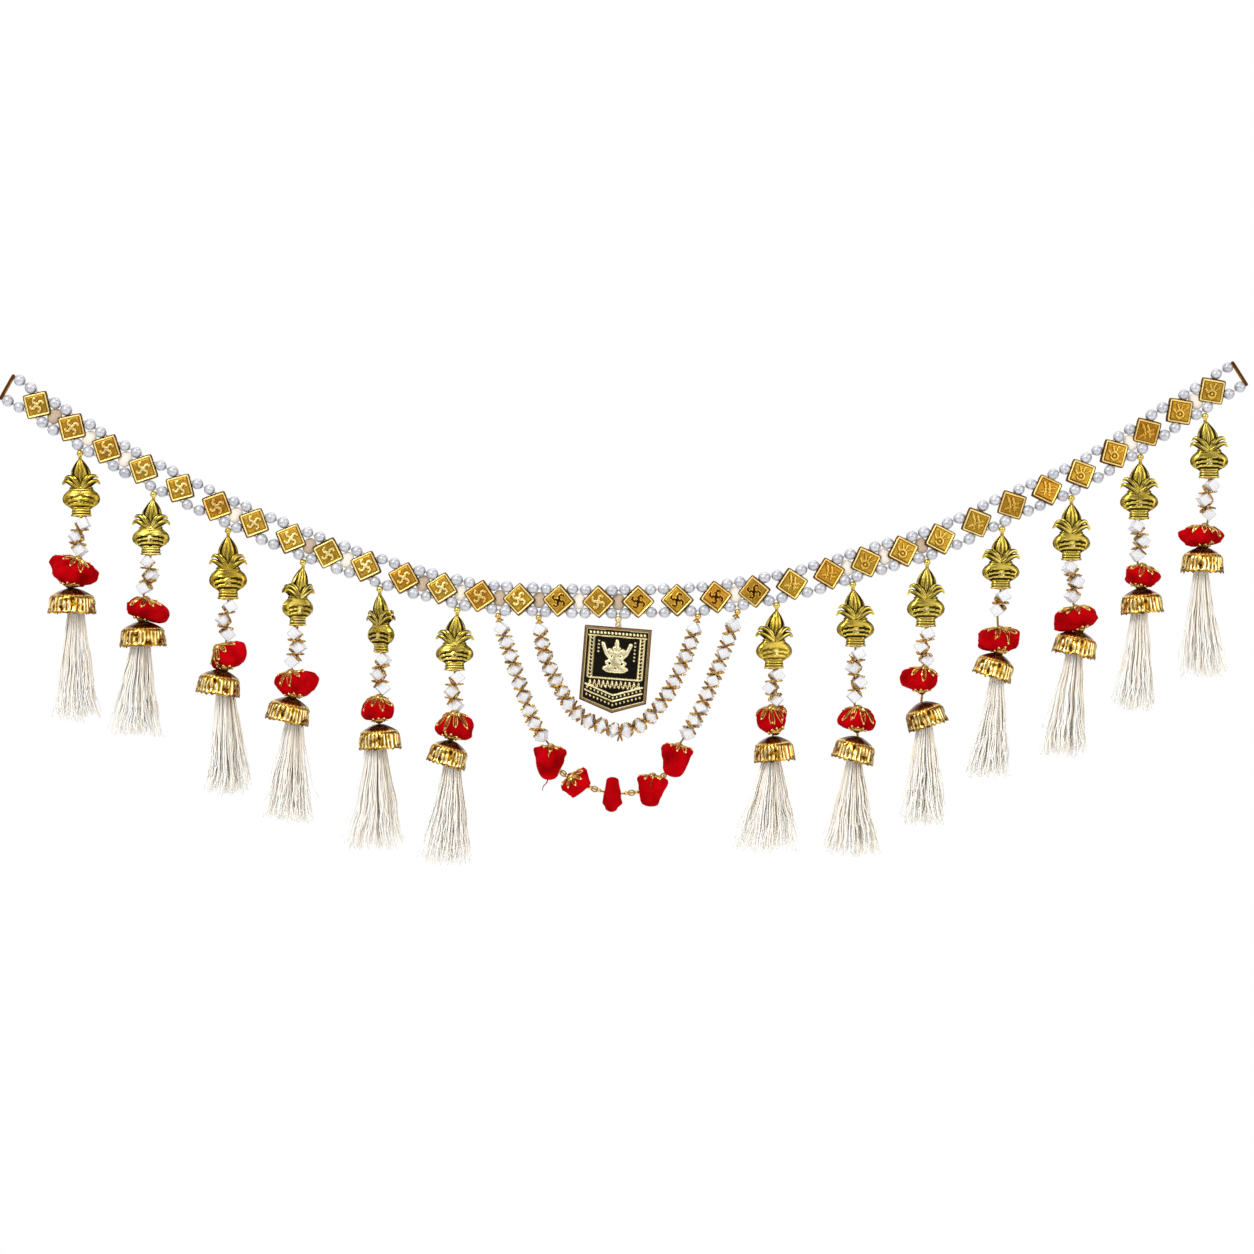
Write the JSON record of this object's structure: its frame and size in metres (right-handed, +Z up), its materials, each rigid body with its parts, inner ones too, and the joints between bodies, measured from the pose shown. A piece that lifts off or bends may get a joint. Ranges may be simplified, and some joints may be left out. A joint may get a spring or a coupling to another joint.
{
  "type": "toran door hanging",
  "caption": "Sagging door hanging: a band of diamond tiles and pearls with charm, bead, bud, bell and tassel drops, a pendant and two beaded swags.",
  "frame": {"origin": "outer face of the end bar at the band's left end, where the hanging is tied up", "axes": "+X along the doorway from the left end to the right, +Z up, the front faces -Y"},
  "size_m": [0.9499, 0.0408, 0.3803],
  "materials": {
    "tile_gold": "gold plated moulded tile, bright rim, dark bevels",
    "pearl": "pearlescent, lavender white",
    "charm_gold": "lemon gold plating with dark hollows",
    "bell_gold": "bright stamped gold plating",
    "antique_gold": "pale antique gold relief on black",
    "white_bead": "faceted opaque white",
    "red_velvet": "red velvet",
    "cream_silk": "cream viscose yarn with a soft sheen"
  },
  "bodies": {
    "root": {"band": "tile_gold", "bud_01": "red_velvet", "bud_02": "red_velvet", "bud_03": "red_velvet", "bud_04": "red_velvet", "bud_05": "red_velvet", "bud_06": "red_velvet", "bud_07": "red_velvet", "bud_08": "red_velvet", "bud_09": "red_velvet", "bud_10": "red_velvet", "bud_11": "red_velvet", "bud_12": "red_velvet", "bud_13": "red_velvet", "charm_01": "charm_gold", "charm_02": "charm_gold", "charm_03": "charm_gold", "charm_04": "charm_gold", "charm_05": "charm_gold", "charm_06": "charm_gold", "charm_07": "charm_gold", "charm_08": "charm_gold", "charm_09": "charm_gold", "charm_10": "charm_gold", "charm_11": "charm_gold", "charm_12": "charm_gold", "charm_13": "charm_gold", "pendant": "antique_gold", "string_01": "white_bead", "string_02": "white_bead", "string_03": "white_bead", "string_04": "white_bead", "string_05": "white_bead", "string_06": "white_bead", "string_07": "white_bead", "string_08": "white_bead", "string_09": "white_bead", "string_10": "white_bead", "string_11": "white_bead", "string_12": "white_bead", "string_13": "white_bead", "swag_buds": "red_velvet", "swag_inner_left": "white_bead", "swag_inner_right": "white_bead", "swag_outer_left": "white_bead", "swag_outer_right": "white_bead", "tassel_01": "cream_silk", "tassel_02": "cream_silk", "tassel_03": "cream_silk", "tassel_04": "cream_silk", "tassel_05": "cream_silk", "tassel_06": "cream_silk", "tassel_07": "cream_silk", "tassel_08": "cream_silk", "tassel_09": "cream_silk", "tassel_10": "cream_silk", "tassel_11": "cream_silk", "tassel_12": "cream_silk", "tassel_13": "cream_silk"}
  },
  "joints": []
}
